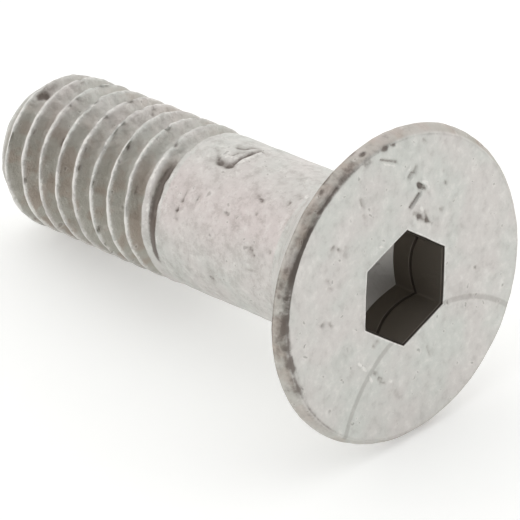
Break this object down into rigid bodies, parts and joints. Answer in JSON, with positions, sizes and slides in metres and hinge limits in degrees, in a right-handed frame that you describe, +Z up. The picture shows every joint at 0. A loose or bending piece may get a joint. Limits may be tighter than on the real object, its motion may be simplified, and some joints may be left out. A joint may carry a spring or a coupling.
{
  "type": "countersunk socket screw",
  "caption": "Metric screw with a flat countersunk head, a hexagon socket, a plain shank and a right-hand thread, lying on its side.",
  "frame": {"origin": "middle of the screw's footprint, on the surface that it lies on", "axes": "+X runs along the screw from its threaded end towards its head and lies in the surface, +Z is up; the screw's own axis rises from its threaded end to its head by 9.3 degrees in the X-Z plane"},
  "size_m": [0.0168, 0.0096, 0.0096],
  "materials": {
    "zinc_coated_steel": "matt hot-dip zinc over steel, with small pits and lumps"
  },
  "bodies": {
    "root": {"countersunk_screw": "zinc_coated_steel"}
  },
  "joints": []
}
